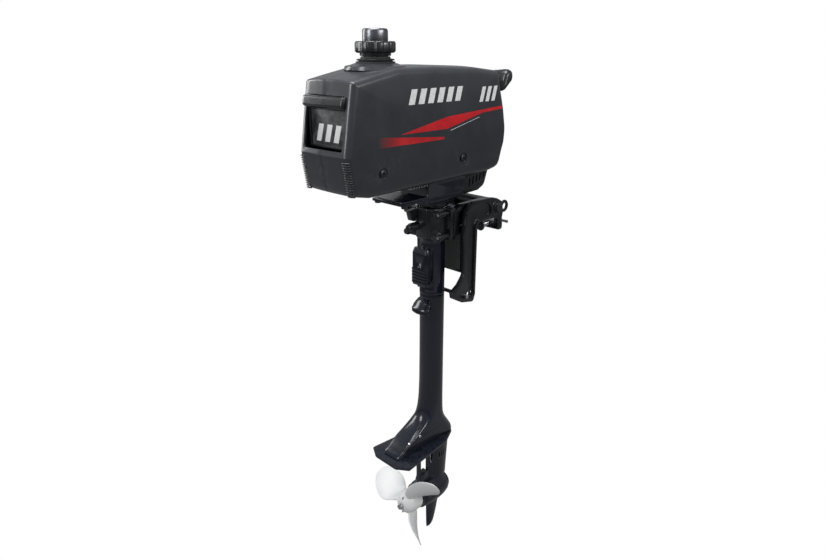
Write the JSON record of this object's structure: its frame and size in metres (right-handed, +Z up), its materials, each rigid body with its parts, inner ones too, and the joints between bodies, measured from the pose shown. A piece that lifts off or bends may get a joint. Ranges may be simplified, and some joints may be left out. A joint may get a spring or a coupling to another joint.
{
  "type": "outboard motor",
  "caption": "Small outboard motor: clamp bracket, tilting and steering swivel, round column, gearcase with a three-blade propeller, and a boxy cowl with a built-in fuel tank.",
  "frame": {"origin": "where the transom's aft face meets the underside of the clamp bracket's hooks, on the centre plane", "axes": "+X forward into the boat, +Y to port, +Z up"},
  "size_m": [0.387, 0.1567, 0.946],
  "materials": {
    "bracket_black": "gloss cast alloy, painted black",
    "leg_black": "gloss black enamel with a blue cast",
    "steel": "plain steel",
    "dark_fasteners": "blackened steel",
    "bright_screws": "bright plated screws",
    "cowl_charcoal": "moulded charcoal plastic, satin gloss",
    "trim_black": "black moulded plastic",
    "panel_grey": "dark grey panel",
    "rubber": "soft black rubber",
    "vent_metal": "dark brushed metal",
    "natural_plastic": "natural nylon",
    "alloy": "cast alloy",
    "ceramic": "white ceramic",
    "prop_white": "white moulded nylon",
    "stop_red": "red button"
  },
  "bodies": {
    "clamp": {"clamp_arm_starboard": "bracket_black", "clamp_arm_port": "bracket_black", "transom_plate": "bracket_black", "tilt_bolt": "steel"},
    "rod": {"thrust_rod": "steel"},
    "pad_starboard": {"clamp_pad_starboard": "steel"},
    "pad_port": {"clamp_pad_port": "steel"},
    "screw_starboard": {"clamp_screw_starboard": "steel"},
    "screw_port": {"clamp_screw_port": "steel"},
    "swivel": {"swivel_bracket": "bracket_black", "swivel_cap": "bracket_black", "swivel_bolts": "dark_fasteners", "steering_bushes": "natural_plastic"},
    "friction": {"friction_screw": "dark_fasteners"},
    "motor": {"column": "leg_black", "relief_cover": "leg_black", "leg": "leg_black", "gearcase": "leg_black", "gearcase_cap": "leg_black", "housing_screws": "bright_screws", "engine_tray": "leg_black", "tray_bolts": "dark_fasteners", "front_apron": "trim_black", "cowl_starboard": "cowl_charcoal", "cowl_port": "cowl_charcoal", "cowl_screws": "bright_screws", "carry_handle": "trim_black", "aft_panel": "panel_grey", "fuel_tank": "natural_plastic", "neck_grommet": "rubber", "crankcase": "alloy", "cylinder_head": "alloy", "spark_plug": "ceramic", "plug_cap": "trim_black", "carburettor": "alloy", "air_silencer": "trim_black", "ignition_coil": "trim_black", "recoil_housing": "trim_black", "pump_housing": "steel", "piston": "alloy", "shaft_bearings": "steel", "tiller_bracket": "trim_black"},
    "cap": {"fuel_cap": "trim_black"},
    "vent": {"vent_knob": "vent_metal"},
    "grip": {"recoil_grip": "trim_black"},
    "reel": {"recoil_reel": "natural_plastic"},
    "crank": {"flywheel": "alloy", "crankshaft": "steel", "drive_shaft": "steel", "pinion": "steel", "impeller": "rubber"},
    "prop": {"prop_shaft": "steel", "drive_gear": "steel", "propeller": "prop_white", "shear_pin": "steel"},
    "tiller_arm": {"tiller": "trim_black"},
    "throttle": {"throttle_lever": "trim_black"},
    "choke": {"choke_knob": "trim_black"},
    "stop": {"stop_button": "stop_red"},
    "cock": {"fuel_cock": "trim_black"}
  },
  "joints": [
    {"name": "rod_pull", "type": "slide", "parent": "clamp", "child": "rod", "axis": [0, 1, 0], "range_m": [0, 0.118]},
    {"name": "pad_starboard_slide", "type": "slide", "parent": "clamp", "child": "pad_starboard", "axis": [-1, 0, 0], "range_m": [-0.012, 0.01]},
    {"name": "pad_port_slide", "type": "slide", "parent": "clamp", "child": "pad_port", "axis": [-1, 0, 0], "range_m": [-0.012, 0.01]},
    {"name": "screw_starboard_turn", "type": "hinge", "parent": "pad_starboard", "child": "screw_starboard", "pos_m": [0.088, -0.033, -0.016], "axis": [-1, 0, 0], "range_deg": [-2160, 1800]},
    {"name": "screw_port_turn", "type": "hinge", "parent": "pad_port", "child": "screw_port", "pos_m": [0.088, 0.033, -0.016], "axis": [-1, 0, 0], "range_deg": [-2160, 1800]},
    {"name": "tilt", "type": "hinge", "parent": "clamp", "child": "swivel", "pos_m": [0.053, 0, 0.017], "axis": [0, 1, 0], "range_deg": [0, 65]},
    {"name": "friction_turn", "type": "hinge", "parent": "swivel", "child": "friction", "pos_m": [-0.1, 0.008, -0.002], "axis": [1, 0, 0], "range_deg": [-180, 180]},
    {"name": "steer", "type": "hinge", "parent": "swivel", "child": "motor", "pos_m": [-0.052, 0, 0], "axis": [0, 0, 1], "range_deg": [-180, 180]},
    {"name": "cap_turn", "type": "hinge", "parent": "motor", "child": "cap", "pos_m": [-0.177, 0, 0.28], "axis": [0, 0, 1], "range_deg": [0, 120]},
    {"name": "vent_turn", "type": "hinge", "parent": "cap", "child": "vent", "pos_m": [-0.177, 0, 0.295], "axis": [0, 0, 1], "range_deg": [0, 180]},
    {"name": "grip_pull", "type": "slide", "parent": "motor", "child": "grip", "axis": [1, 0, 0], "range_m": [0, 0.45]},
    {"name": "reel_turn", "type": "hinge", "parent": "motor", "child": "reel", "pos_m": [-0.052, 0, 0.22], "axis": [0, 0, 1], "range_deg": [0, 900]},
    {"name": "crank_spin", "type": "hinge", "parent": "motor", "child": "crank", "pos_m": [-0.052, 0, 0.1], "axis": [0, 0, 1], "continuous": true},
    {"name": "prop_spin", "type": "hinge", "parent": "motor", "child": "prop", "pos_m": [-0.112, 0, -0.547], "axis": [1, 0, 0], "continuous": true},
    {"name": "tiller_fold", "type": "hinge", "parent": "motor", "child": "tiller_arm", "pos_m": [0.093, 0, 0.105], "axis": [0, 1, 0], "range_deg": [0, 90]},
    {"name": "throttle_move", "type": "hinge", "parent": "motor", "child": "throttle", "pos_m": [0.062, 0.032, 0.116], "axis": [0, 1, 0], "range_deg": [-25, 25]},
    {"name": "choke_pull", "type": "slide", "parent": "motor", "child": "choke", "axis": [1, 0, 0], "range_m": [0, 0.012]},
    {"name": "stop_press", "type": "slide", "parent": "motor", "child": "stop", "axis": [-1, 0, 0], "range_m": [0, 0.003], "stiffness_N_per_m": 600, "springref_m": -0.001},
    {"name": "cock_turn", "type": "hinge", "parent": "motor", "child": "cock", "pos_m": [-0.09, 0.06, 0.13], "axis": [0, 1, 0], "range_deg": [0, 90]}
  ],
  "couplings": [
    {"joint": "screw_starboard_turn", "follows": "pad_starboard_slide", "rad_per_m": 3141.6},
    {"joint": "screw_port_turn", "follows": "pad_port_slide", "rad_per_m": 3141.6},
    {"joint": "reel_turn", "follows": "grip_pull", "rad_per_m": 32.258},
    {"joint": "prop_spin", "follows": "crank_spin", "ratio": 0.48148}
  ]
}
